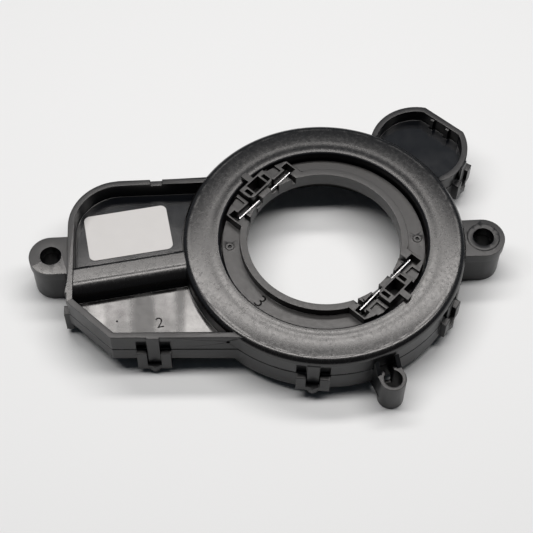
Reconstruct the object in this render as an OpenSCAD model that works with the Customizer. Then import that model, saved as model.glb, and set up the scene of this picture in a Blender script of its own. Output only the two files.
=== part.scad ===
// Steering angle sensor. Two snapped shells hold a rotor that the steering column passes through.
// The rotor's outer gear turns two small measuring gears, each with a magnet over a sensor chip.
// The origin is on the column axis in the hub's top face. +X runs from the left ear to the right ear,
// and +Z towards the cover. Heights are given over the mounting plane under the ears.

/* [Rotor] */
// Radius of the column bore in the rotor hub
bore_r = 20; // [19.5:0.25:20.5]
// Wall of the hub ring around the bore
hub_wall = 1.85; // [1.6:0.05:2]
// Width of the lower step between the hub ring and the rotor's outer edge
step_w = 4.6; // [4.4:0.1:4.8]
// Wall of the skirt that runs in the lower shell
skirt_wall = 1.25; // [1:0.05:1.5]
// Thickness of the rotor's web
web_t = 1.8; // [1.5:0.1:2.2]
// Thickness of the ring gear and of the measuring gears
gear_t = 2; // [1.6:0.1:2]
// Radial running clearance between the rotor's skirt and the lower shell
run_gap = 0.05; // [0.02:0.01:0.08]

/* [Gears] */
// Module of all the gear teeth
tooth_module = 0.8; // [0.78:0.01:0.84]
// Teeth on the rotor's ring gear
rotor_teeth = 75; // [74:1:78]
// Teeth on the measuring gear under the round well
gear_a_teeth = 22; // [21:1:24]
// Teeth on the measuring gear under the tray
gear_b_teeth = 21; // [20:1:22]
// Direction of the measuring gear under the round well, seen from the column axis
gear_a_angle = 46.5; // [44:0.5:49]
// Direction of the measuring gear under the tray, seen from the column axis
gear_b_angle = 200; // [197:1:203]
// Thinning of each tooth flank, for backlash
backlash = 0.08; // [0.05:0.01:0.12]
// Radius of the pivot pin of a measuring gear
pivot_r = 1.5; // [1.2:0.1:1.8]
// Radius of a sensing magnet
magnet_r = 3; // [2.5:0.1:3.2]
// Thickness of a sensing magnet
magnet_t = 1; // [0.8:0.1:1.1]

/* [Housing ring] */
// Gap between the rotor and the cover's lip
lip_gap = 0.55; // [0.4:0.05:0.8]
// Width of the housing ring, from its lip to its outer wall
ring_w = 9.9; // [9.5:0.1:10.5]
// Wall of the upper cover
cover_wall = 1.3; // [1.1:0.1:1.4]
// Wall of the lower shell
case_wall = 1.2; // [1:0.1:1.4]
// Radius of the dome's outer edge
dome_edge_r = 1.85; // [1.4:0.05:2.2]
// Height of the bead beside the lip over the hollow behind it
bead_h = 0.05; // [0.04:0.01:0.1]
// Width of the bead beside the lip
bead_w = 2.6; // [2.2:0.1:3]
// Height of the dome's crown over the hollow beside it
crown_h = 0.03; // [0.02:0.01:0.1]
// Width of the rise from the hollow to the crown
crown_rise = 1.4; // [1.2:0.1:1.8]
// Fall of the dome from its crown to its outer edge
crown_fall = 0.24; // [0.2:0.02:0.3]

/* [Heights over the mounting plane] */
// Underside of the ring
ring_floor_z = 3; // [2.8:0.1:3.2]
// Underside of the box at its edge
box_floor_z = 5; // [4.8:0.1:5.2]
// Seam between the two shells
seam_z = 9.8; // [9.7:0.05:9.9]
// Floors of the label pocket and of the tray
pocket_z = 10.6; // [10.5:0.05:10.8]
// Floor of the round well
well_z = 10.4; // [10.3:0.05:10.6]
// Top of the rotor's lower step
step_z = 13.5; // [13.3:0.1:13.7]
// Hollow of the dome
dome_z = 16.25; // [16.15:0.05:16.3]
// Top of the hub ring
hub_z = 16; // [15.8:0.05:16.1]
// Top of the box's rim
box_rim_z = 15.6; // [15.2:0.1:15.8]
// Top of the round well's rim
well_rim_z = 14.3; // [14:0.1:14.8]
// Top of the ears
ear_top_z = 12.8; // [12.4:0.1:13.2]
// Top of the locating tube
tube_top_z = 10.4; // [10.1:0.1:11]

/* [Box] */
// Distance of the box's left wall from the column axis
box_left = 66.4; // [65:0.2:68]
// Distance of the box's back wall from the column axis
box_back = 20.9; // [20.4:0.1:21.4]
// Distance of the front left corner from the column axis, forwards
box_front = 26.8; // [26:0.2:27.4]
// Slope of the front wall, which runs out to meet the ring
front_slope = 2.7; // [2:0.1:3.4]
// Size of the chamfer at the front left corner
box_chamfer = 11.2; // [10.4:0.2:12]
// Radius of the box's rounded back corner
box_corner_r = 13.5; // [13:0.1:14]
// Width of the rims of the box and the round well
rim_w = 1.65; // [1.5:0.05:1.9]
// Width of the step under the edge of the box
foot_step = 3.5; // [3.2:0.1:3.8]
// Turn of the ridge and the label
ridge_turn = 8; // [6:0.5:10]
// Distance of the ridge's foot in front of the column axis, square to the ridge
ridge_foot = 4.55; // [4.2:0.1:4.9]
// Width of the ridge between the pockets
ridge_w = 8.25; // [8:0.05:8.6]
// Radius of the ridge's front edge
ridge_r = 4; // [3.6:0.1:4.2]
// Radius of the ridge's back edge
ridge_back_r = 1.2; // [1:0.1:1.5]

/* [Round well] */
// Distance of the well's centre from the column axis
well_out = 41; // [40.6:0.1:41.4]
// Outer radius of the well
well_r = 13.2; // [12.8:0.1:13.6]
// Distance of the well's flat side from its centre
well_flat = 11.5; // [11.2:0.1:11.8]

/* [Ears and locating tube] */
// Radius of the ears
ear_r = 5.7; // [5.3:0.1:6]
// Radius of the fixing holes in the ears
ear_hole_r = 2.7; // [2.5:0.05:3]
// Distance of the left hole from the box's wall
ear_left_out = 4.6; // [4.2:0.1:5]
// Distance of the right hole from the ring's wall
ear_right_out = 5.1; // [4.8:0.1:5.6]
// How far the ear under the seam stands back from its plate
ear_inset = 0.35; // [0.2:0.05:0.5]
// Direction of the locating tube, seen from the column axis
tube_angle = -69.5; // [-71:0.5:-68]
// Distance of the locating tube from the column axis
tube_out = 41.5; // [41.2:0.1:42.5]
// Outer radius of the locating tube
tube_r = 3.4; // [3.2:0.1:3.6]
// Bore radius of the locating tube
tube_bore_r = 2.3; // [2.1:0.05:2.5]

/* [Snap clips] */
// Width of a clip's strap
strap_w = 3.2; // [2.8:0.1:3.4]
// Width of each leg of the frame beside a strap
leg_w = 2.55; // [2.3:0.05:2.8]
// How far a clip's frame stands out of the wall
clip_t = 1.2; // [1:0.1:1.4]
// Thickness of a clip's strap
strap_t = 0.8; // [0.6:0.05:0.9]
// How far a strap on the box or the round well stands out of the wall
strap_out = 0.35; // [0.2:0.05:0.4]

/* [Column clamps] */
// Half width of a jaw
jaw_half = 4.55; // [4.3:0.05:4.7]
// How far a jaw's shoe stands into the bore
shoe_in = 0.2; // [0.1:0.05:0.2]
// Radius of a spring wire
wire_r = 0.45; // [0.4:0.05:0.5]
// Half length of a spring wire
wire_half = 10.3; // [10:0.1:10.5]
// Height of the spring wires
wire_z = 15; // [14.95:0.05:15.1]
// Top of the jaws
jaw_top_z = 17.5; // [17.3:0.1:17.8]
// Travel of a jaw away from the column
jaw_travel = 0.5; // [0.3:0.05:0.5]

/* [Circuit board and connector] */
// Thickness of the circuit board
board_t = 0.8; // [0.7:0.05:0.85]
// Gap between the circuit board and the case's floor
board_gap = 0.2; // [0.15:0.05:0.3]
// Width of the connector socket's cavity
socket_w = 15; // [14:0.5:16]
// Depth of the connector socket's cavity
socket_depth = 9; // [8:0.25:9.5]
// Distance of the socket's middle from the column axis, to the left
socket_x = 44; // [43:0.5:45]
// Number of connector pins
pin_count = 5; // [4:1:6]
// Thickness of a connector pin
pin_t = 0.64; // [0.5:0.02:0.7]

/* [Label] */
// Length of the label
label_l = 22; // [20:0.5:23]
// Height of the label
label_h = 14; // [12:0.5:14.5]
// Thickness of the label
label_t = 0.15; // [0.1:0.05:0.2]
// Distance of the label's middle from the box's left wall
label_in = 16.9; // [16:0.1:17.5]
// Distance of the label from the ridge's back foot
label_up = 3.8; // [3:0.1:4]

/* [Hidden] */
$fn = 72;
eps = 0.01;

plastic = "#2b2c2e";
dark_plastic = "#222326";
steel = "#c9ccce";

hub_r = bore_r + hub_wall;
rotor_r = hub_r + step_w;
lip_r = rotor_r + lip_gap;
ring_r = lip_r + ring_w;
web_z = step_z - web_t;
// The case's floor, and the underside of the pockets that the gears turn under
case_z = ring_floor_z + case_wall;
pocket_t = 1.2;
under_z = pocket_z - pocket_t;
under_well_z = well_z - pocket_t + 0.1;
gear_gap = 0.3;
gear_top_z = min(under_z, under_well_z) - gear_gap;
gear_z = gear_top_z - gear_t;
collar_z = gear_z - gear_gap;
skirt_gap = 0.2;
groove = 0.3;

gear_a_out = tooth_module * (rotor_teeth + gear_a_teeth) / 2;
gear_a_c = gear_a_out * [cos(gear_a_angle), sin(gear_a_angle)];
gear_a_room = tooth_module * (gear_a_teeth / 2 + 1) + 0.5;
gear_b_out = tooth_module * (rotor_teeth + gear_b_teeth) / 2;
pivot_gap = 0.05;
pivot_len = 1.65;
magnet_hub_wall = 1;
magnet_z = gear_z - 0.85;

ear_left_x = -(box_left + ear_left_out);
ear_right_x = ring_r + ear_right_out;

board_z = case_z + board_gap;
board_top = board_z + board_t;
chip_t = 0.6;
board_play = 0.3;

// Clips on the ring and the well: direction from the column axis. Each row of wall_clips holds
// a place, the direction that the wall faces, and the lower end of the frame.
frame_ring_z = ring_floor_z + 0.6;
frame_box_z = 1.7;
well_clip_turn = -31.8;
ring_clips = [-98.1, -33, 104];
well_c = well_out * [cos(gear_a_angle), sin(gear_a_angle)];
front_clip_x = -44.8;
rim_notch_x = 43.25;
left_clip_y = -11.5;
wall_clips = [
    [[front_clip_x, front_y(front_clip_x)], -90 - front_slope, frame_box_z, box_rim_z],
    [[-box_left, left_clip_y], 180, frame_box_z, box_rim_z],
    [well_c + well_r * [cos(well_clip_turn), sin(well_clip_turn)], well_clip_turn, frame_ring_z,
        well_rim_z - 0.3]];
frame_half = strap_w / 2 + 0.15 + leg_w;
frame_bar = 1.6;
strap_clear = 0.15;
strap_flush = 0.05;
window_h = 3.9;
window_deep = 0.8;

clamp_angles = [135, -45];
wire_u = bore_r + 0.6;
shoe_t = 1.5;
shoe_half = 4.1;
nose_half = 1.8;
jaw_in = wire_u + wire_r + 0.3;
jaw_out = rotor_r - 0.85;
jaw_z = web_z + 1;
jaw_play = 0.3;
boss_half = 11.8;
socket_half = 11.3;

socket_floor = case_z;
socket_front = box_back - socket_depth;
partition_t = 1.2;
pin_pitch = 2.54;
pin_z = board_top + 1.5;
pin_tail = 3.2;
pin_reach = 4;

// Height of the dome over a radius: a bead beside the lip, a hollow, then a crown that falls off
// gently to the outer edge
crown_r = lip_r + bead_w + crown_rise;
crown_fall_w = ring_r - dome_edge_r - crown_r;
function dome_top(r) =
    r < lip_r + bead_w ? dome_z + bead_h * (1 - cos(360 * (r - lip_r) / bead_w)) / 2 :
    r < crown_r ? dome_z + crown_h * (1 - cos(180 * (r - lip_r - bead_w) / crown_rise)) / 2 :
    dome_z + crown_h - crown_fall * ((r - crown_r) / crown_fall_w) ^ 2;
// Points of an arc
function arc(c, r, from, to, steps) =
    [for (i = [0:steps]) let (a = from + (to - from) * i / steps) c + r * [cos(a), sin(a)]];
// Front wall of the box, which slopes towards the ring
function front_y(x) = -box_front - (x + box_left - box_chamfer) * tan(front_slope);
// Corner between two lines that both move inwards by d: n and m are their inward normals
function inset(p, n, m, d) = p + d * (n + m) / (1 + n * m);

// Involute gear outline. A flank has a point at the root, the pitch circle and the tip.
function inv(a) = tan(a) * 180 / PI - a;
function flank(r, n) = let (rp = tooth_module * n / 2, rb = rp * cos(20), a = acos(min(1, rb / max(r, rb))))
    90 / n - backlash / rp * 180 / PI + inv(20) - inv(a);
function gear_points(n) = let (rp = tooth_module * n / 2,
    radii = [rp - 1.25 * tooth_module, rp, rp + tooth_module])
    [for (i = [0:n - 1], s = [-1, 1], k = [0:2])
        let (r = radii[s < 0 ? k : 2 - k], a = 360 * i / n + s * flank(r, n)) r * [cos(a), sin(a)]];
// Turn that puts a gap of the measuring gear over the rotor tooth nearest to it
function mesh_turn(n, angle) = let (pitch = 360 / rotor_teeth, off = angle - round(angle / pitch) * pitch)
    angle + 180 + 180 / n + off * rotor_teeth / n;

// Outline of the box, moved inwards by d
module box_face(d) {
    c = [-box_left + box_corner_r, box_back - box_corner_r];
    slope_n = [sin(front_slope), cos(front_slope)];
    chamfer_n = [1, 1] / sqrt(2);
    polygon([
        [0, front_y(0) + d / cos(front_slope)], [0, box_back - d], [c[0], box_back - d], c,
        [-box_left + d, c[1]],
        inset([-box_left, -box_front + box_chamfer], [1, 0], chamfer_n, d),
        inset([-box_left + box_chamfer, -box_front], chamfer_n, slope_n, d)]);
    translate(c) circle(box_corner_r - d);
}

// Outline of the round well, moved inwards by d. The gear under it always has its room.
module well_face(d) {
    translate(well_c) intersection() {
        circle(well_r - d);
        rotate(gear_a_angle) translate([-2 * well_r, -2 * well_r])
            square([2 * well_r + well_flat - d, 4 * well_r]);
    }
    translate(gear_a_c) circle(gear_a_room + case_wall - d);
}

// Moves heights over the mounting plane to heights over the origin
module datum() {
    translate([0, 0, -hub_z]) children();
}

// A face extruded between two heights
module slab(z0, z1) {
    translate([0, 0, z0]) linear_extrude(z1 - z0) children();
}

// Dome ring, hollow under its skin for the ring gear
module dome_ring() {
    edge_z = dome_top(ring_r - dome_edge_r) - dome_edge_r;
    in_r = ring_r - cover_wall;
    in_z = dome_z - cover_wall;
    rotate_extrude() polygon(concat(
        [[lip_r, under_z], [lip_r, dome_z - 0.4]],
        [for (i = [1:15]) let (r = lip_r + (ring_w - dome_edge_r) * i / 16) [r, dome_top(r)]],
        arc([ring_r - dome_edge_r, edge_z], dome_edge_r, 90, 0, 8),
        [[ring_r, seam_z], [in_r, seam_z], [in_r, in_z - 1.2], [in_r - 1.2, in_z],
            [lip_r + cover_wall, in_z], [lip_r + cover_wall, under_z]]));
}

// Section of the ridge, with Y across it
module ridge_section() {
    front = -ridge_foot;
    back = front + ridge_w;
    base = seam_z + 0.3;
    intersection() {
        union() {
            translate([front, base]) square([ridge_w, box_rim_z - ridge_r - base]);
            translate([front + ridge_r, base])
                square([ridge_w - ridge_r, box_rim_z - ridge_back_r - base]);
            translate([front + ridge_r, base])
                square([ridge_w - ridge_r - ridge_back_r, box_rim_z - base]);
            translate([front + ridge_r, box_rim_z - ridge_r]) circle(ridge_r);
            translate([back - ridge_back_r, box_rim_z - ridge_back_r]) circle(ridge_back_r);
        }
        translate([front, base]) square([ridge_w, box_rim_z]);
    }
}

// Hollow under the ridge
module ridge_hollow_section() {
    front = -ridge_foot + cover_wall;
    back = -ridge_foot + ridge_w - cover_wall;
    top = box_rim_z - cover_wall;
    polygon([[front, 0], [front, top - ridge_r + cover_wall], [front + ridge_r - cover_wall, top],
        [back, top], [back, 0]]);
}

// A ridge section swept along the box
module ridge_sweep() {
    rotate(ridge_turn) translate([-box_left - 5, 0, 0]) rotate([90, 0, 90])
        linear_extrude(box_left) children();
}

// Strap of a snap clip, with X square to the wall and the wall's face at X = 0
module strap(low_z, top_z, out) {
    end_z = low_z + frame_bar + strap_clear;
    translate([out - strap_t, -strap_w / 2, end_z]) cube([strap_t, strap_w, top_z - end_z]);
}

// Recess in the lower shell that a strap lies in
module strap_recess(low_z, out) {
    deep = strap_t - out + strap_clear;
    translate([-deep, -strap_w / 2 - strap_clear, low_z + frame_bar])
        cube([deep + clip_t + 1, strap_w + 2 * strap_clear, seam_z]);
}

// Recesses in the cover beside a strap
module strap_windows() {
    for (s = [-1, 1])
        translate([-window_deep, s * (strap_w / 2 + leg_w / 2 + 0.1) - leg_w / 2, seam_z - eps])
            cube([window_deep + 2, leg_w, window_h]);
}

// Frame of a snap clip on the lower shell, with its pointed nub
module clip_frame(low_z) {
    root = 0.8;
    nub_half = 1.4;
    nub_drop = 0.8;
    nub_out = clip_t + 0.6;
    for (s = [-1, 1])
        translate([-root, s * (frame_half - leg_w / 2) - leg_w / 2, low_z])
            cube([root + clip_t, leg_w, seam_z - groove - low_z]);
    translate([-root, -frame_half, low_z]) cube([root + clip_t, 2 * frame_half, frame_bar]);
    translate([0, 0, low_z - nub_drop]) linear_extrude(frame_bar + nub_drop)
        polygon([[-root, -nub_half], [clip_t, -nub_half], [nub_out, 0], [clip_t, nub_half],
            [-root, nub_half]]);
}

// Places a child on every wall that carries a clip. $low is the frame's end, $high the strap's top
// and $out how far the strap stands out.
module each_clip() {
    for (a = ring_clips) rotate(a) translate([ring_r, 0, 0]) {
        $low = frame_ring_z;
        $high = seam_z + 4.3;
        $out = strap_flush;
        children();
    }
    for (c = wall_clips) translate(c[0]) rotate(c[1]) {
        $low = c[2];
        $high = c[3];
        $out = strap_out;
        children();
    }
}

// Outline of both ears, moved inwards by d
module ear_face(d) {
    translate([ear_left_x, 0]) circle(ear_r - d);
    translate([ear_left_x, -ear_r + d]) square([ear_left_out + 1, 2 * (ear_r - d)]);
    translate([ear_right_x, 0]) circle(ear_r - d);
    translate([ear_right_x - ear_right_out - 1, -ear_r + d])
        square([ear_right_out + 1, 2 * (ear_r - d)]);
}

module ear_holes() {
    for (x = [ear_left_x, ear_right_x])
        translate([x, 0, -1]) cylinder(r = ear_hole_r, h = ear_top_z + 3);
}

// Pivot pin under a pocket for a measuring gear
module gear_pivot(out, angle, roof_z) {
    rotate(angle) translate([out, 0, gear_top_z - pivot_len + 0.25])
        cylinder(r = pivot_r, h = roof_z - gear_top_z + pivot_len);
}

module upper_cover() {
    nub = 1.2;
    notch_w = 3.1;
    notch_deep = 0.7;
    vent_x = -26;
    color(plastic) datum() difference() {
        union() {
            dome_ring();
            // rim, pocket floors and ridge of the box
            slab(seam_z, box_rim_z) difference() {
                box_face(0);
                box_face(rim_w);
                circle(ring_r - cover_wall / 2);
            }
            slab(seam_z, pocket_z) difference() {
                box_face(rim_w / 2);
                circle(ring_r - cover_wall / 2);
            }
            slab(under_z, seam_z) difference() {
                box_face(case_wall + 0.2);
                circle(ring_r - cover_wall / 2);
            }
            intersection() {
                ridge_sweep() ridge_section();
                slab(seam_z - 1, box_rim_z + 1) difference() {
                    box_face(rim_w / 2);
                    circle(ring_r - cover_wall / 2);
                }
            }
            // round well
            slab(seam_z, well_rim_z) difference() {
                well_face(0);
                well_face(rim_w);
                circle(ring_r - cover_wall / 2);
            }
            slab(seam_z, well_z) difference() {
                well_face(rim_w / 2);
                circle(ring_r - cover_wall / 2);
            }
            slab(under_well_z, seam_z) difference() {
                well_face(case_wall + 0.2);
                circle(ring_r - cover_wall / 2);
            }
            // small nubs on the well's flat wall
            translate(well_c) rotate(gear_a_angle) for (s = [-1, 1])
                translate([well_flat - rim_w - nub * 0.6, s * 2.5 - nub / 2, well_z - eps])
                    cube([nub, nub, well_rim_z - well_z - 0.4]);
            slab(seam_z, ear_top_z) ear_face(0);
            slab(ear_top_z - eps, ear_top_z + 0.25) translate([ear_right_x, 0]) circle(ear_r - 1.5);
            each_clip() strap($low, $high, $out);
            gear_pivot(gear_b_out, gear_b_angle, under_z);
            gear_pivot(gear_a_out, gear_a_angle, under_well_z);
        }
        intersection() {
            ridge_sweep() ridge_hollow_section();
            slab(under_z - 1, box_rim_z) difference() {
                box_face(rim_w + 0.2);
                circle(ring_r + 0.2);
            }
        }
        ear_holes();
        each_clip() strap_windows();
        // notch in the back rim and a vent in the front wall
        translate([-rim_notch_x - notch_w / 2, box_back - rim_w - 1, box_rim_z - notch_deep])
            cube([notch_w, rim_w + 2, 2]);
        translate([vent_x, front_y(vent_x), seam_z + 3.4]) rotate([-90, 0, 0])
            cylinder(r = 0.45, h = 1.6, center = true);
    }
}

// Lower shell's outer form
module case_body() {
    slab(ring_floor_z, seam_z - groove) circle(ring_r);
    slab(seam_z - groove - eps, seam_z) circle(ring_r - groove);
    slab(box_floor_z, seam_z - groove) {
        box_face(0);
        well_face(0);
    }
    slab(seam_z - groove - eps, seam_z) {
        box_face(groove);
        well_face(groove);
    }
    slab(ring_floor_z, box_floor_z + eps) {
        box_face(foot_step);
        well_face(foot_step);
    }
    slab(0, seam_z - groove) ear_face(ear_inset);
    slab(seam_z - groove - eps, seam_z) ear_face(ear_inset + groove);
}

// Room inside the lower shell
module case_room() {
    top = seam_z + 1;
    slab(case_z, top) {
        circle(ring_r - case_wall);
        box_face(foot_step + case_wall);
        well_face(foot_step + case_wall);
    }
    slab(box_floor_z + case_wall, top) {
        box_face(case_wall);
        well_face(case_wall);
    }
}

// Block around the connector's cavity, at the back wall
module socket_block() {
    wall = 1;
    translate([-socket_x - socket_w / 2 - wall, socket_front - partition_t, ring_floor_z])
        cube([socket_w + 2 * wall, socket_depth + partition_t, under_z - 0.1 - ring_floor_z]);
}

module socket_cavity() {
    translate([-socket_x - socket_w / 2, socket_front, socket_floor])
        cube([socket_w, socket_depth + 1, seam_z - socket_floor + 1]);
}

// Square section along the connector pins, wider by gap
module pin_bars(gap, y0, y1) {
    t = pin_t + gap;
    for (i = [0:pin_count - 1])
        translate([-socket_x + (i - (pin_count - 1) / 2) * pin_pitch - t / 2, y0, pin_z - t / 2])
            cube([t, y1 - y0, t]);
}

// Board pegs: a shoulder under the board and a pin through it
peg_r = 0.9;
peg_hole_r = 1;
peg_places = [[-58, -6], [-54, -18], [-40, 2], [32.4 * cos(95), 32.4 * sin(95)],
    [32.4 * cos(140), 32.4 * sin(140)]];
module board_pegs() {
    for (p = peg_places) translate([p[0], p[1], case_z - eps]) {
        cylinder(r = peg_r + 0.7, h = board_gap + eps);
        cylinder(r = peg_r, h = board_gap + board_t + 0.6);
    }
}

// Locating tube with the two webs that carry it
module locating_tube() {
    web = 1.2;
    rotate(tube_angle) {
        translate([tube_out, 0, 0]) cylinder(r = tube_r, h = tube_top_z);
        for (s = [-1, 1]) translate([0, s * (tube_r - web / 2) + web / 2, 0]) rotate([90, 0, 0])
            linear_extrude(web) polygon([[ring_r - 0.8, ring_floor_z], [ring_r - 0.8, seam_z - groove],
                [ring_r + 0.25, seam_z - groove], [ring_r + 0.25, seam_z + 3.8],
                [tube_out - tube_r + 1.4, tube_top_z], [tube_out, tube_top_z], [tube_out, ring_floor_z]]);
    }
}

module lower_housing() {
    color(dark_plastic) datum() difference() {
        union() {
            difference() {
                union() {
                    case_body();
                    locating_tube();
                    each_clip() clip_frame($low);
                }
                case_room();
            }
            // collar that the rotor runs in
            slab(ring_floor_z, collar_z) difference() {
                circle(rotor_r + run_gap + case_wall);
                circle(rotor_r + run_gap);
            }
            intersection() {
                socket_block();
                slab(0, seam_z) box_face(0.2);
            }
            board_pegs();
        }
        translate([0, 0, -1]) cylinder(r = rotor_r + run_gap, h = seam_z + 3);
        socket_cavity();
        pin_bars(0.1, socket_front - partition_t - 1, socket_front + 1);
        ear_holes();
        each_clip() strap_recess($low, $out);
        rotate(tube_angle) {
            translate([tube_out, 0, -1]) cylinder(r = tube_bore_r, h = tube_top_z + 2);
            translate([tube_out - tube_r - 1, -1.2, ring_floor_z + 0.5]) cube([tube_r + 1, 2.4, tube_top_z]);
        }
    }
}

// One clamp's raised boss on the rotor, with X pointing outwards along the clamp
module clamp_boss() {
    intersection() {
        slab(step_z - 0.5, hub_z) difference() {
            circle(rotor_r - 0.15);
            circle(hub_r - 0.5);
        }
        translate([bore_r * 0.75, -boss_half, 0]) cube([bore_r, 2 * boss_half, hub_z + 1]);
    }
}

module clamp_cuts() {
    top = hub_z + 2;
    jaw_room = jaw_half + jaw_play;
    slot_mid = 8.7;
    slot_w = 1.1;
    end_w = 2;
    end_deep = 3.1;
    notch_mid = 7.1;
    notch_w = 2.6;
    // the jaw's pocket and the window for its shoe
    translate([jaw_in - 0.4, -jaw_room, jaw_z - jaw_play]) cube([rotor_r, 2 * jaw_room, top]);
    translate([bore_r - 3, -shoe_half - jaw_play, jaw_z - jaw_play])
        cube([6, 2 * (shoe_half + jaw_play), top]);
    // slots through the hub ring beside the shoe
    for (s = [-1, 1]) translate([bore_r * 0.8, s * slot_mid - slot_w / 2, wire_z - wire_r - 0.9])
        cube([wire_u - bore_r * 0.8, slot_w, top]);
    // channel and end pockets for the wire
    translate([wire_u - wire_r - 0.1, -wire_half - 0.3, wire_z - wire_r - 0.1])
        cube([2 * wire_r + jaw_travel + 0.4, 2 * wire_half + 0.6, top]);
    for (s = [-1, 1]) {
        translate([wire_u - wire_r - 0.2, s * (socket_half - end_w / 2) - end_w / 2, step_z - 0.6])
            cube([end_deep, end_w, top]);
        translate([bore_r + 2.5, s * notch_mid - notch_w / 2, hub_z - 0.8]) cube([3, notch_w, top]);
    }
}

module rotor() {
    dimple_out = hub_r + 2.65;
    color(plastic) datum() difference() {
        union() {
            // hub ring, lower step and skirt
            rotate_extrude() polygon([
                [bore_r, web_z], [bore_r, hub_z], [hub_r, hub_z], [hub_r, step_z],
                [rotor_r, step_z], [rotor_r, gear_top_z], [rotor_r, gear_z],
                [rotor_r, ring_floor_z + skirt_gap], [rotor_r - skirt_wall, ring_floor_z + skirt_gap],
                [rotor_r - skirt_wall, web_z]]);
            slab(gear_z, gear_top_z) difference() {
                polygon(gear_points(rotor_teeth));
                circle(rotor_r - skirt_wall / 2);
            }
            for (a = clamp_angles) rotate(a) clamp_boss();
            for (a = [0, 180]) rotate(a) translate([dimple_out, 0, step_z - eps])
                cylinder(r = 1.15, h = 0.3);
        }
        for (a = clamp_angles) rotate(a) clamp_cuts();
        for (a = [0, 180]) rotate(a) translate([dimple_out, 0, step_z - 0.4])
            cylinder(r = 0.4, h = 1);
    }
}

// One jaw, with X pointing outwards along its clamp
module clamp_jaw() {
    round_r = 1.5;
    difference() {
        union() {
            slab(jaw_z, jaw_top_z) {
                translate([jaw_in, -jaw_half + round_r]) square([jaw_out - jaw_in, 2 * (jaw_half - round_r)]);
                translate([jaw_in + round_r, -jaw_half]) square([jaw_out - jaw_in - round_r, 2 * jaw_half]);
                for (s = [-1, 1]) translate([jaw_in + round_r, s * (jaw_half - round_r)]) circle(round_r);
            }
            // shoe under the wire, and the nose that hooks over it
            slab(jaw_z, wire_z - wire_r - 0.15) intersection() {
                translate([bore_r - 2, -shoe_half]) square([jaw_in - bore_r + 2 + eps, 2 * shoe_half]);
                difference() {
                    circle(rotor_r);
                    circle(bore_r - shoe_in);
                }
            }
            slab(jaw_z, hub_z + 0.6) intersection() {
                translate([bore_r - 2, -nose_half]) square([jaw_in - bore_r + 2 + eps, 2 * nose_half]);
                difference() {
                    circle(rotor_r);
                    circle(bore_r - shoe_in);
                }
            }
            // finger that reaches over the cover's lip
            translate([jaw_out - eps, -0.9, dome_z + bead_h + 0.4])
                cube([lip_r + 1.4 - jaw_out, 1.8, jaw_top_z - dome_z - bead_h - 0.4]);
        }
        // window and the two slots beside it
        translate([jaw_in + 0.55, -2.15, jaw_z - 1]) cube([jaw_out - jaw_in - 1, 4.3, jaw_top_z]);
        for (s = [-1, 1]) translate([jaw_in + 0.75, s * 3.25 - 0.5, jaw_top_z - 2.4]) cube([2.3, 1, 3]);
        translate([wire_u, 0, wire_z]) rotate([90, 0, 0])
            cylinder(r = wire_r, h = 4 * nose_half, center = true);
    }
}

module clamp_jaw_back() {
    color(plastic) datum() rotate(clamp_angles[0]) clamp_jaw();
}

module clamp_jaw_front() {
    color(plastic) datum() rotate(clamp_angles[1]) clamp_jaw();
}

// Spring wire with both ends bent down into the rotor's pockets
module spring_wire() {
    bend = wire_half - wire_r;
    leg = 1.2;
    translate([wire_u, 0, wire_z]) rotate([90, 0, 0]) cylinder(r = wire_r, h = 2 * bend, center = true);
    for (s = [-1, 1]) translate([wire_u, s * bend, wire_z]) {
        sphere(wire_r);
        translate([0, 0, -leg]) cylinder(r = wire_r, h = leg);
    }
}

module spring_wire_back() {
    color(steel) datum() rotate(clamp_angles[0]) spring_wire();
}

module spring_wire_front() {
    color(steel) datum() rotate(clamp_angles[1]) spring_wire();
}

// Measuring gear with a blind pivot bore above and a magnet seat below
module measuring_gear(n, out, angle) {
    bore_deep = pivot_len;
    color("#e6e2d6") datum() rotate(angle) translate([out, 0, 0]) rotate(mesh_turn(n, angle) - angle)
        difference() {
            union() {
                slab(gear_z, gear_top_z) polygon(gear_points(n));
                translate([0, 0, magnet_z])
                    cylinder(r = magnet_r + magnet_hub_wall, h = gear_z - magnet_z + eps);
            }
            translate([0, 0, gear_top_z - bore_deep + 0.1])
                cylinder(r = pivot_r + pivot_gap, h = bore_deep + 1);
            translate([0, 0, magnet_z - 1]) cylinder(r = magnet_r, h = magnet_t + 1);
        }
}

module measuring_gear_a() {
    measuring_gear(gear_a_teeth, gear_a_out, gear_a_angle);
}

module measuring_gear_b() {
    measuring_gear(gear_b_teeth, gear_b_out, gear_b_angle);
}

module sensing_magnet(out, angle) {
    color("#8d9196") datum() rotate(angle) translate([out, 0, magnet_z]) cylinder(r = magnet_r, h = magnet_t);
}

module sensing_magnet_a() {
    sensing_magnet(gear_a_out, gear_a_angle);
}

module sensing_magnet_b() {
    sensing_magnet(gear_b_out, gear_b_angle);
}

// Board that fills the box's floor and follows the ring to the round well
module circuit_board() {
    inner_r = rotor_r + run_gap + case_wall + board_play + 0.4;
    outer_r = ring_r - case_wall - board_play;
    edge = foot_step + case_wall + board_play;
    from = 36;
    to = 218;
    color("#2f6b3a") datum() slab(board_z, board_top) difference() {
        union() {
            box_face(edge);
            well_face(edge);
            intersection() {
                circle(outer_r);
                polygon(concat([[0, 0]], arc([0, 0], 2 * ring_r, from, to, 12)));
            }
        }
        circle(inner_r);
        translate([-socket_x - socket_w / 2 - 1 - board_play, socket_front - partition_t - board_play])
            square([socket_w + 2 + 2 * board_play, box_back]);
        for (p = peg_places) translate(p) circle(peg_hole_r);
        for (i = [0:pin_count - 1])
            translate([-socket_x + (i - (pin_count - 1) / 2) * pin_pitch, pin_row_y()]) circle(pin_t * 0.75);
        // clear of the box's open side, in front of the ring
        translate([-26, -ring_r - 10]) square([60, ring_r - 12]);
    }
}
function pin_row_y() = socket_front - partition_t - pin_tail + pin_t / 2;

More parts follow.
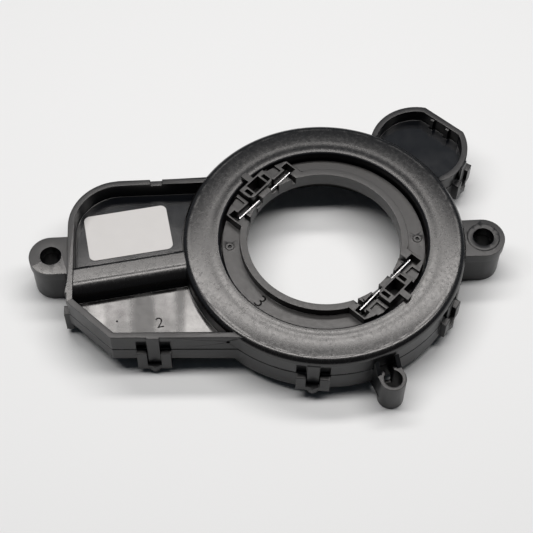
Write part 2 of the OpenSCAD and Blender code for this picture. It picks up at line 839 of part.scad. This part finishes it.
// A flat part on the board
module chip(place, size, turn = 0) {
    translate([place[0], place[1], board_top]) rotate(turn)
        translate([-size[0] / 2, -size[1] / 2, 0]) cube(size);
}

module sensor_chip_a() {
    color("#1c1c1e") datum()
        chip(gear_a_c, [5, 4.4, chip_t], gear_a_angle);
}

module sensor_chip_b() {
    color("#1c1c1e") datum()
        chip(gear_b_out * [cos(gear_b_angle), sin(gear_b_angle)], [5, 4.4, chip_t], gear_b_angle);
}

module microcontroller() {
    color("#1c1c1e") datum() chip([-52.5, 2], [7, 7, 1]);
}

module bus_transceiver() {
    color("#1c1c1e") datum() chip([-56, -13.5], [4, 5, 1.2]);
}

module voltage_regulator() {
    color("#1c1c1e") datum() chip([-49, -18.5], [6, 5, 1.5]);
}

// Round capacitor that stands up under the ridge
module filter_capacitor() {
    can_r = 2.5;
    can_h = 6.5;
    color("#b9bcc0") datum() rotate(ridge_turn) translate([-51.5, -ridge_foot + ridge_w / 2, board_top])
        cylinder(r = can_r, h = can_h);
}

module quartz_crystal() {
    color("#c4c7ca") datum() chip([-57.5, 1], [2.5, 3.2, 0.8]);
}

module ceramic_capacitors() {
    color("#b59a72") datum() {
        for (i = [0:3]) chip([-52.5 + 2.6 * i, -12.6], [1.2, 2, 0.9]);
        for (a = [70, 82, 112, 126]) chip(32 * [cos(a), sin(a)], [1.2, 2, 0.9], a);
    }
}

module chip_resistors() {
    color("#27282a") datum() {
        for (i = [0:3]) chip([-47.2 + 2 * i, 4.4], [1.2, 2, 0.5]);
        for (a = [76, 88, 102, 118]) chip(32 * [cos(a), sin(a)], [1.2, 2, 0.5], a);
    }
}

// Pins that run from the board through the partition into the socket
module connector_pins() {
    row = socket_front - partition_t - pin_tail;
    color("#d8c27a") datum() {
        pin_bars(0, row, socket_front + pin_reach);
        for (i = [0:pin_count - 1])
            translate([-socket_x + (i - (pin_count - 1) / 2) * pin_pitch - pin_t / 2, row, board_z - 0.1])
                cube([pin_t, pin_t, pin_z - board_z]);
    }
}

module label() {
    round_r = 1.6;
    label_y = -ridge_foot + ridge_w + label_up + label_h / 2;
    color("#f4f4f2") datum() rotate(ridge_turn)
        translate([label_in - box_left, label_y, pocket_z]) slab(0, label_t) {
            square([label_l - 2 * round_r, label_h], center = true);
            square([label_l, label_h - 2 * round_r], center = true);
            for (x = [-1, 1], y = [-1, 1])
                translate([x * (label_l / 2 - round_r), y * (label_h / 2 - round_r)]) circle(round_r);
        }
}

upper_cover();
lower_housing();
rotor();
clamp_jaw_back();
clamp_jaw_front();
spring_wire_back();
spring_wire_front();
measuring_gear_a();
measuring_gear_b();
sensing_magnet_a();
sensing_magnet_b();
circuit_board();
sensor_chip_a();
sensor_chip_b();
microcontroller();
bus_transceiver();
voltage_regulator();
filter_capacitor();
quartz_crystal();
ceramic_capacitors();
chip_resistors();
connector_pins();
label();
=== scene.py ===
import math
import bpy
from mathutils import Matrix, Vector


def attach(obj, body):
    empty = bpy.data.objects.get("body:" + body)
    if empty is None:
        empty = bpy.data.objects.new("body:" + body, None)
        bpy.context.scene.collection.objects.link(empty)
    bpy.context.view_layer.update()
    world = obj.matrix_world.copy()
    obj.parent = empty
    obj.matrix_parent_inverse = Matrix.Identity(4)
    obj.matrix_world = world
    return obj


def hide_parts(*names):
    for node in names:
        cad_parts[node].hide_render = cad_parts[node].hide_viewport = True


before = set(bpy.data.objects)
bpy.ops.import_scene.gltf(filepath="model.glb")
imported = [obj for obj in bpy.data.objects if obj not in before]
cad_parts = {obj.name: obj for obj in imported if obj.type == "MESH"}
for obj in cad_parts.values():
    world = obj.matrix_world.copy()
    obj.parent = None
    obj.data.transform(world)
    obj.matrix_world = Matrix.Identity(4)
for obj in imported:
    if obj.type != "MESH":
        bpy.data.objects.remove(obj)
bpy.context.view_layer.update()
MM = 0.001

# ---- Upper cover -----------------------------------------------------------------------------
# A domed ring around the column, a box with a label pocket and a tray, a round well and two ears,
# injection-moulded in black PBT as one piece, with a small round wherever two faces meet. It
# snaps over the lower housing.


def to_linear(hex_code):
    """An sRGB hex colour, such as #2b2c2e, as linear values."""
    values = [int(hex_code[i:i + 2], 16) / 255 for i in (1, 3, 5)]
    linear = [v / 12.92 if v <= 0.04045 else ((v + 0.055) / 1.055) ** 2.4 for v in values]
    return (*linear, 1.0)


def add_node(tree, kind, settings=None, links=None):
    """Adds one node, with its settings by name and its links by input name or number."""
    made = tree.nodes.new(kind)
    for name, value in (settings or {}).items():
        if name in made.inputs:
            made.inputs[name].default_value = value
        else:
            setattr(made, name, value)
    for name, source in (links or {}).items():
        tree.links.new(source, made.inputs[name])
    return made


def new_material(name, settings):
    """A material of one shader, with the shader's settings by name."""
    material = bpy.data.materials.new(name)
    material.use_nodes = True
    tree = material.node_tree
    tree.nodes.clear()
    shader = add_node(tree, "ShaderNodeBsdfPrincipled", settings)
    add_node(tree, "ShaderNodeOutputMaterial", links={"Surface": shader.outputs["BSDF"]})
    return material, tree, shader


def new_finish(name, colour, roughness, patch_mm, grain_mm, relief_mm, settings):
    """A finish whose roughness drifts between two values in patches, with a fine relief.

    A picture of the whole part doesn't show a grain finer than about 0.3 mm, so the grain of
    the outer plastics is drawn coarser than it is.
    """
    material, tree, shader = new_material(name, {"Base Color": to_linear(colour), **settings})
    place = add_node(tree, "ShaderNodeTexCoord").outputs["Object"]
    patches = add_node(tree, "ShaderNodeTexNoise",
                       {"Scale": 1 / (patch_mm * MM), "Detail": 6.0, "Roughness": 0.62},
                       {"Vector": place})
    # The noise seldom leaves its middle, so that part of it takes the whole span of roughness
    shine = add_node(tree, "ShaderNodeMapRange",
                     {"From Min": 0.28, "From Max": 0.72,
                      "To Min": roughness[0], "To Max": roughness[1]},
                     {"Value": patches.outputs["Fac"]})
    grain = add_node(tree, "ShaderNodeTexNoise",
                     {"Scale": 1 / (grain_mm * MM), "Detail": 3.0, "Roughness": 0.6},
                     {"Vector": place})
    bump = add_node(tree, "ShaderNodeBump", {"Strength": 1.0, "Distance": relief_mm * MM},
                    {"Height": grain.outputs["Fac"]})
    tree.links.new(shine.outputs["Result"], shader.inputs["Roughness"])
    tree.links.new(bump.outputs["Normal"], shader.inputs["Normal"])
    return material


# Corners closer than this are one corner, an edge that turns by more than the first angle is
# rounded, and one that turns by less than the second is smooth
MERGE_DISTANCE = 0.002 * MM
ROUNDED_FROM = math.radians(38)
SMOOTH_UP_TO = math.radians(32)
# How strongly a large flat face pulls the shading at its rim flat, of 100
FLAT_FACE_WEIGHT = 90


def moulded_copy(node, body, edge_mm, finishes):
    """A finished copy of a CAD node: corners merged, edges rounded, curves smooth."""
    piece = bpy.data.objects.new(node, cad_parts[node].data.copy())
    bpy.context.scene.collection.objects.link(piece)
    piece.data.materials.clear()
    for finish in finishes:
        piece.data.materials.append(finish)
    bpy.ops.object.select_all(action="DESELECT")
    piece.select_set(True)
    bpy.context.view_layer.objects.active = piece
    bpy.ops.object.mode_set(mode="EDIT")
    bpy.ops.mesh.select_all(action="SELECT")
    bpy.ops.mesh.remove_doubles(threshold=MERGE_DISTANCE)
    bpy.ops.object.mode_set(mode="OBJECT")
    if edge_mm:
        rounding = piece.modifiers.new("moulded edge", "BEVEL")
        rounding.width = edge_mm * MM
        rounding.segments = 2
        rounding.limit_method = "ANGLE"
        rounding.angle_limit = ROUNDED_FROM
        rounding.use_clamp_overlap = False
        bpy.ops.object.modifier_apply(modifier=rounding.name)
    bpy.ops.object.shade_smooth_by_angle(angle=SMOOTH_UP_TO)
    flat = piece.modifiers.new("flat faces", "WEIGHTED_NORMAL")
    flat.weight = FLAT_FACE_WEIGHT
    flat.keep_sharp = True
    bpy.ops.object.modifier_apply(modifier=flat.name)
    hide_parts(node)
    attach(piece, body)
    return piece


# PBT's index of refraction. The satin faces give back less than that, so theirs is lower.
PBT = {"IOR": 1.6}
SATIN_PBT = {"IOR": 1.46}

# The dome's mould was spark-eroded, which leaves a fine grain that breaks the highlights up a
# little. The real grain is about 0.1 mm and is drawn coarser, because it wouldn't show.
grained = new_finish("spark-eroded black PBT", "#100f0f", (0.19, 0.31), patch_mm=1.0,
                     grain_mm=0.45, relief_mm=0.004, settings=PBT)

# The walls come from plain steel. They stay nearly black where they face no lamp. Their colour's
# faint blue tint is a painted reflection of the bluish room.
satin = new_finish("satin black PBT walls", "#090a0d", (0.28, 0.38), patch_mm=8.0,
                   grain_mm=0.6, relief_mm=0.002, settings=SATIN_PBT)

# The pockets' mould was polished, so their floors are dark mirrors with blurred edges. Their
# colour's blue tint is a painted reflection of the bluish room.
pocket_finish = new_finish("polished black PBT pockets", "#0a0c10", (0.12, 0.17), patch_mm=6.0,
                           grain_mm=0.5, relief_mm=0.001, settings=PBT)

# The tray's mould was polished by hand in strokes, so its gloss comes in soft bands that run
# along Y. The bands' roughness is added to that of the patches.
tray_finish = new_finish("polished black PBT tray", "#0f0e0e", (0.0, 0.08), patch_mm=2.0,
                         grain_mm=0.5, relief_mm=0.002, settings=PBT)
BAND_W = 5.0 * MM
BAND_SQUEEZE = 0.12
tree = tray_finish.node_tree
shader = tree.nodes["Principled BSDF"]
place = add_node(tree, "ShaderNodeTexCoord").outputs["Object"]
stretched = add_node(tree, "ShaderNodeMapping", {"Scale": (1.0, BAND_SQUEEZE, 1.0)},
                     {"Vector": place})
bands = add_node(tree, "ShaderNodeTexNoise", {"Scale": 1 / BAND_W, "Detail": 1.0},
                 {"Vector": stretched.outputs["Vector"]})
streaks = add_node(tree, "ShaderNodeMapRange",
                   {"From Min": 0.35, "From Max": 0.65, "To Min": 0.10, "To Max": 0.30},
                   {"Value": bands.outputs["Fac"]})
patchy = shader.inputs["Roughness"].links[0].from_socket
total = add_node(tree, "ShaderNodeMath", {"operation": "ADD"},
                 {0: streaks.outputs["Result"], 1: patchy})
tree.links.new(total.outputs["Value"], shader.inputs["Roughness"])

# The cover's own radii, and its heights over the origin in the hub's top face
LIP_R = 27.0 * MM
RING_R = 36.9 * MM
DOME_EDGE_R = 1.85 * MM
BEAD_W = 2.6 * MM
BEAD_H = 0.05 * MM
CROWN_H = 0.03 * MM
CROWN_RISE_W = 1.4 * MM
CROWN_R = LIP_R + BEAD_W + CROWN_RISE_W
CROWN_FALL = 0.24 * MM
HOLLOW_Z = 0.25 * MM
POCKET_Z = -5.4 * MM
WELL_Z = -5.6 * MM

# The ridge crosses the box at this slope, between the label pocket and the tray
RIDGE_SLOPE = math.tan(math.radians(8))
RIDGE_W = 8.0 * MM

# How close a point lies to a level, to the dome's curve, or, as a share of its radius, to the
# dome's rounded edge, to be on it. The dome's slope is taken over two steps.
LEVEL_NEAR = 0.05 * MM
DOME_NEAR = 0.04 * MM
EDGE_NEAR = 0.03
SLOPE_STEP = 0.01 * MM

# How much of a face's normal points along the dome's, or upwards, for it to follow the dome, to
# be level, or to be one of the ridge's sloping sides
FOLLOWS_DOME = 0.9
LEVEL = 0.99
SLOPING = 0.3


def dome_top(r):
    """Height of the dome over a radius: a bead beside the lip, then a broad low crown."""
    foot = LIP_R + BEAD_W
    if r < foot:
        return HOLLOW_Z + BEAD_H * (1 - math.cos(math.tau * (r - LIP_R) / BEAD_W)) / 2
    if r < CROWN_R:
        return HOLLOW_Z + CROWN_H * (1 - math.cos(math.pi * (r - foot) / (CROWN_R - foot))) / 2
    out = (r - CROWN_R) / (RING_R - DOME_EDGE_R - CROWN_R)
    return HOLLOW_Z + CROWN_H - CROWN_FALL * out ** 2


def dome_normal(point):
    """The dome's true normal at a point on it, or None where the point is off the dome."""
    r = math.hypot(point.x, point.y)
    edge_r = RING_R - DOME_EDGE_R
    edge_z = dome_top(edge_r) - DOME_EDGE_R
    if r < LIP_R - LEVEL_NEAR or r > RING_R + LEVEL_NEAR or point.z < edge_z:
        return None
    if r < edge_r:
        if abs(point.z - dome_top(r)) > DOME_NEAR:
            return None
        slope = (dome_top(r + SLOPE_STEP) - dome_top(r - SLOPE_STEP)) / (2 * SLOPE_STEP)
        out, rise = -slope, 1.0
    else:
        out, rise = (r - edge_r) / DOME_EDGE_R, (point.z - edge_z) / DOME_EDGE_R
        if abs(math.hypot(out, rise) - 1) > EDGE_NEAR:
            return None
    return Vector((point.x / r * out, point.y / r * out, rise)).normalized()


# Each face gets its finish by its place: the dome and the ridge are grained, the floors of the
# tray, the label pocket and the well are polished, and the rest is satin. The dome also takes
# its true normals, so that its highlights run evenly around the ring.
SATIN, GRAINED, TRAY, POCKET = range(4)
cover = moulded_copy("upper_cover", "housing", edge_mm=0.18,
                     finishes=(satin, grained, tray_finish, pocket_finish))
normals = [corner.vector.copy() for corner in cover.data.corner_normals]
for face in cover.data.polygons:
    true_normals = [dome_normal(cover.data.vertices[i].co) for i in face.vertices]
    on_dome = all(n is not None and n.dot(face.normal) > FOLLOWS_DOME for n in true_normals)
    middle = face.center
    from_ridge = middle.y - middle.x * RIDGE_SLOPE
    level = face.normal.z > LEVEL
    face.material_index = SATIN
    if on_dome:
        face.material_index = GRAINED
        normals[face.loop_start:face.loop_start + face.loop_total] = true_normals
    elif level and abs(middle.z - POCKET_Z) < LEVEL_NEAR:
        face.material_index = POCKET if from_ridge > 0 else TRAY
    elif level and abs(middle.z - WELL_Z) < LEVEL_NEAR:
        face.material_index = POCKET
    elif face.normal.z > SLOPING and middle.x < -RING_R and abs(from_ridge) < RIDGE_W:
        face.material_index = GRAINED
cover.data.normals_split_custom_set(normals)

# ---- Plain numbers on the cover and the rotor ------------------------------------------------
# Cavity numbers that were engraved in the two moulds, so they come out with the plastic: a figure
# and a dot on the tray, and a figure on the rotor's ring. The marks are rough, which is real.
# They are also drawn nearly black with a very low index of refraction so that they give back
# hardly any light, which is painted shade standing in for the shade of a relief that is too thin
# to cast it. Both plastics look alike there.

# Painted shade: a near-black colour and an IOR of 1.15 darken the figures in place of their
# relief's shade
engraved = new_finish("engraved black PBT", "#050506", (0.6, 0.7), patch_mm=4.0,
                      grain_mm=0.5, relief_mm=0.01, settings={"IOR": 1.15})
# A figure's height and its strokes' thinning, as shares of its font size, and how far it stands
# out of the face that it lies on
FIGURE_SHARE = 0.7
STROKE_THINNING = 0.006
FIGURE_RELIEF = 0.02 * MM


def add_figure(name, figure, height_mm, place_mm, turn, body):
    """One plain figure, as thin mesh on the face that it is moulded in."""
    bpy.ops.object.select_all(action="DESELECT")
    bpy.ops.object.text_add()
    mark = bpy.context.active_object
    mark.name = name
    mark.data.body = figure
    mark.data.size = height_mm * MM / FIGURE_SHARE
    mark.data.align_x = "CENTER"
    mark.data.align_y = "CENTER"
    mark.data.offset = -STROKE_THINNING * mark.data.size
    mark.data.extrude = FIGURE_RELIEF
    bpy.ops.object.convert(target="MESH")
    mark.rotation_euler = (0, 0, math.radians(turn))
    mark.location = Vector(place_mm) * MM
    bpy.ops.object.transform_apply(location=True, rotation=True, scale=True)
    mark.data.materials.clear()
    mark.data.materials.append(engraved)
    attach(mark, body)


add_figure("tray_number", "2", height_mm=3.0, place_mm=(-43.1, -20.3, -5.4), turn=8,
           body="housing")
add_figure("tray_dot", ".", height_mm=3.4, place_mm=(-54.1, -18.0, -5.4), turn=8,
           body="housing")
add_figure("ring_number", "3", height_mm=3.6, place_mm=(-17.5, -17.0, -2.5), turn=-46,
           body="rotor")

# ---- Lower housing ---------------------------------------------------------------------------
# The lower shell, of the same black PBT from a mould that was only milled. It takes the cover's
# snap straps in its clip frames, and its walls mirror the floor softly.

# The colour's faint blue tint is a painted reflection of the bluish room
plain = new_finish("plain-moulded black PBT", "#090a0d", (0.28, 0.38), patch_mm=10.0,
                   grain_mm=0.6, relief_mm=0.002, settings=SATIN_PBT)
moulded_copy("lower_housing", "housing", edge_mm=0.18, finishes=(plain,))

# ---- Rotor and jaws --------------------------------------------------------------------------
# The rotor is turned by the column, and carries the two sprung jaws. Both are moulded in a black
# acetal that slides well. It is softer and greyer than the cover, with a satin shine.

acetal = new_finish("satin black acetal", "#141313", (0.31, 0.45), patch_mm=1.2,
                    grain_mm=0.35, relief_mm=0.008, settings={"IOR": 1.55})
moulded_copy("rotor", "rotor", edge_mm=0.12, finishes=(acetal,))
for side in ("back", "front"):
    moulded_copy("clamp_jaw_" + side, "jaw_" + side, edge_mm=0.1,
                 finishes=(acetal,))

# ---- Spring wires ----------------------------------------------------------------------------
# Drawn round steel wire, bent down at both ends and pushed into the rotor's sockets. The drawn
# surface is nearly a mirror, so each wire shows as a thin bright line.

METAL = {"Metallic": 1.0}
steel = new_finish("drawn spring steel", "#a2a2a3", (0.14, 0.26), patch_mm=0.5,
                   grain_mm=0.2, relief_mm=0.001, settings=METAL)
for side in ("back", "front"):
    moulded_copy("spring_wire_" + side, "jaw_" + side, edge_mm=0,
                 finishes=(steel,))

# ---- Label -----------------------------------------------------------------------------------
# A bare label of white polyester film, stuck to the pocket's floor. The film is matt, so it is an
# even pale grey with no highlight.


def finish_nodes(finish, *nodes):
    """Gives their finish to CAD nodes that are shown as they are."""
    for node in nodes:
        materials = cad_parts[node].data.materials
        materials.clear()
        materials.append(finish)


film = new_finish("matt white polyester film", "#bdbdbd", (0.45, 0.55), patch_mm=3.0,
                  grain_mm=0.4, relief_mm=0.002, settings={"IOR": 1.64})
finish_nodes(film, "label")

# ---- Measuring gears and magnets -------------------------------------------------------------
# Two gears moulded in natural acetal, which looks creamy and waxy. Each has a nickel-plated
# magnet pressed into it, which is a soft warm mirror.

natural = new_finish("natural acetal", "#e6e1d3", (0.34, 0.44), patch_mm=4.0,
                     grain_mm=0.3, relief_mm=0.002, settings={"IOR": 1.48})
finish_nodes(natural, "measuring_gear_a", "measuring_gear_b")
nickel = new_finish("nickel-plated magnet", "#b9b5aa", (0.16, 0.28), patch_mm=1.0,
                    grain_mm=0.3, relief_mm=0.001, settings=METAL)
finish_nodes(nickel, "sensing_magnet_a", "sensing_magnet_b")

# ---- Circuit board and its parts -------------------------------------------------------------
# A glass-fibre board on the housing's pegs, with chips, an electrolytic capacitor, a crystal,
# small ceramic parts and the connector's pins soldered to it.

# The solder mask is glossy, and the board's weave shows faintly through it
mask = new_finish("green solder mask on glass fibre", "#1d5b38", (0.24, 0.34), patch_mm=3.0,
                  grain_mm=0.5, relief_mm=0.006, settings={"IOR": 1.52})
finish_nodes(mask, "circuit_board")

# The chips' epoxy is filled with glass powder, which makes it matt and a little grey
epoxy = new_finish("moulded black epoxy", "#191a1c", (0.5, 0.62), patch_mm=1.5,
                   grain_mm=0.15, relief_mm=0.004, settings={"IOR": 1.55})
finish_nodes(epoxy, "sensor_chip_a", "sensor_chip_b", "microcontroller", "bus_transceiver",
             "voltage_regulator")

# The capacitor's can is drawn and bright, and the crystal's cap is yellower
can = new_finish("drawn aluminium can", "#cfd0d2", (0.2, 0.34), patch_mm=1.2,
                 grain_mm=0.3, relief_mm=0.001, settings=METAL)
finish_nodes(can, "filter_capacitor")
cap = new_finish("nickel silver cap", "#bdb7a6", (0.18, 0.3), patch_mm=1.2,
                 grain_mm=0.3, relief_mm=0.001, settings=METAL)
finish_nodes(cap, "quartz_crystal")

# Fired ceramic is tan with a faint sheen, and a resistor's black glaze shines more
ceramic = new_finish("barium titanate ceramic", "#a07a4e", (0.3, 0.45), patch_mm=0.8,
                     grain_mm=0.15, relief_mm=0.002, settings={"IOR": 2.0})
finish_nodes(ceramic, "ceramic_capacitors")
resistor = new_finish("glazed chip resistor", "#15161a", (0.24, 0.4), patch_mm=0.8,
                      grain_mm=0.15, relief_mm=0.002, settings={"IOR": 1.55})
finish_nodes(resistor, "chip_resistors")

# Dipping in tin leaves the pins a dull, warm silver
tinned = new_finish("tinned bronze pin", "#c9c2ae", (0.2, 0.32), patch_mm=0.8,
                    grain_mm=0.2, relief_mm=0.001, settings=METAL)
finish_nodes(tinned, "connector_pins")

# ---- Floor, lamps and camera -----------------------------------------------------------------
# The part lies on a wide sheet of pale matt paper, in a room that is darker in front of it than
# behind. One long soft box hangs over it and one behind it, and the plastic mirrors both.

FLOOR_SIZE = 6.0
FLOOR_Z = -16.0 * MM
bpy.ops.object.select_all(action="DESELECT")
bpy.ops.mesh.primitive_plane_add(size=FLOOR_SIZE, location=(0, 0, FLOOR_Z))
floor = bpy.context.active_object
floor.name = "floor"
paper = new_material("pale paper", {"Base Color": to_linear("#e3e6e8"), "Roughness": 0.9})[0]
floor.data.materials.append(paper)

# The room's brightness rises from front to back. The plastic mirrors it in full, and a smaller
# share of it lights the part and the paper.
ROOM_COLOUR = (0.74, 0.86, 1.0, 1.0)
ROOM_FRONT, ROOM_BACK = 0.04, 0.17
LIGHTING_SHARE = 0.35
world = bpy.data.worlds.new("studio")
bpy.context.scene.world = world
world.use_nodes = True
sky = world.node_tree
facing = add_node(sky, "ShaderNodeTexCoord").outputs["Generated"]
parts = add_node(sky, "ShaderNodeSeparateXYZ", links={"Vector": facing})
glow = add_node(sky, "ShaderNodeMapRange",
                {"From Min": -0.55, "From Max": 0.05, "To Min": ROOM_FRONT, "To Max": ROOM_BACK},
                {"Value": parts.outputs["Y"]})
mirrored = add_node(sky, "ShaderNodeLightPath").outputs["Is Glossy Ray"]
share = add_node(sky, "ShaderNodeMapRange", {"To Min": LIGHTING_SHARE, "To Max": 1.0},
                 {"Value": mirrored})
strength = add_node(sky, "ShaderNodeMath", {"operation": "MULTIPLY"},
                    {0: glow.outputs["Result"], 1: share.outputs["Result"]})
background = sky.nodes["Background"]
background.inputs["Color"].default_value = ROOM_COLOUR
sky.links.new(strength.outputs["Value"], background.inputs["Strength"])

LAMP_COLOUR = (1.0, 0.96, 0.93)


def add_lamp(name, width, depth, watts, azimuth, elevation, distance):
    """A long soft box that looks at the part from an azimuth and elevation in degrees."""
    a, e = math.radians(azimuth), math.radians(elevation)
    towards = Vector((math.cos(e) * math.cos(a), math.cos(e) * math.sin(a), math.sin(e)))
    bpy.ops.object.light_add(type="AREA", location=towards * distance)
    lamp = bpy.context.active_object
    lamp.name = name
    lamp.data.shape = "RECTANGLE"
    lamp.data.size = width
    lamp.data.size_y = depth
    lamp.data.energy = watts
    lamp.data.color = LAMP_COLOUR
    along = Vector((1, 0, 0))
    across = towards.cross(along).normalized()
    facing_part = Matrix((along, across, towards)).transposed().to_4x4()
    lamp.matrix_world = Matrix.Translation(towards * distance) @ facing_part


add_lamp("overhead lamp", width=0.70, depth=0.075, watts=2.03,
         azimuth=90, elevation=88, distance=0.45)
add_lamp("back lamp", width=0.90, depth=0.11, watts=4.05,
         azimuth=88, elevation=62.8, distance=0.9)

# The camera looks down at the part from the front, turned and rolled a little. Its place is
# measured along its own view, in mm from the origin.
VIEW_DOWN = math.radians(58.08)
VIEW_TURN = math.radians(-3.6)
VIEW_ROLL = math.radians(0.6)
VIEW_BACK, VIEW_RIGHT, VIEW_UP = 362.7, -14.83, -7.69
FOCAL_PX = 1400.0
PICTURE_PX = 533
SENSOR_MM = 36.0
forward = Vector((0, math.cos(VIEW_DOWN), -math.sin(VIEW_DOWN)))
right = Vector((1, 0, 0))
up = right.cross(forward)
spot = (-forward * VIEW_BACK + right * VIEW_RIGHT + up * VIEW_UP) * MM
turn = Matrix.Rotation(VIEW_TURN, 4, "Z")
rolled_right = right * math.cos(VIEW_ROLL) + up * math.sin(VIEW_ROLL)
rolled_up = up * math.cos(VIEW_ROLL) - right * math.sin(VIEW_ROLL)
view = Matrix((rolled_right, rolled_up, -forward)).transposed().to_4x4()
camera = bpy.data.objects.new("camera", bpy.data.cameras.new("camera"))
bpy.context.scene.collection.objects.link(camera)
camera.matrix_world = turn @ Matrix.Translation(spot) @ view
camera.data.sensor_width = SENSOR_MM
camera.data.lens = FOCAL_PX * SENSOR_MM / PICTURE_PX
camera.data.clip_start = 0.01
bpy.context.scene.camera = camera
bpy.context.scene.view_settings.view_transform = "Standard"
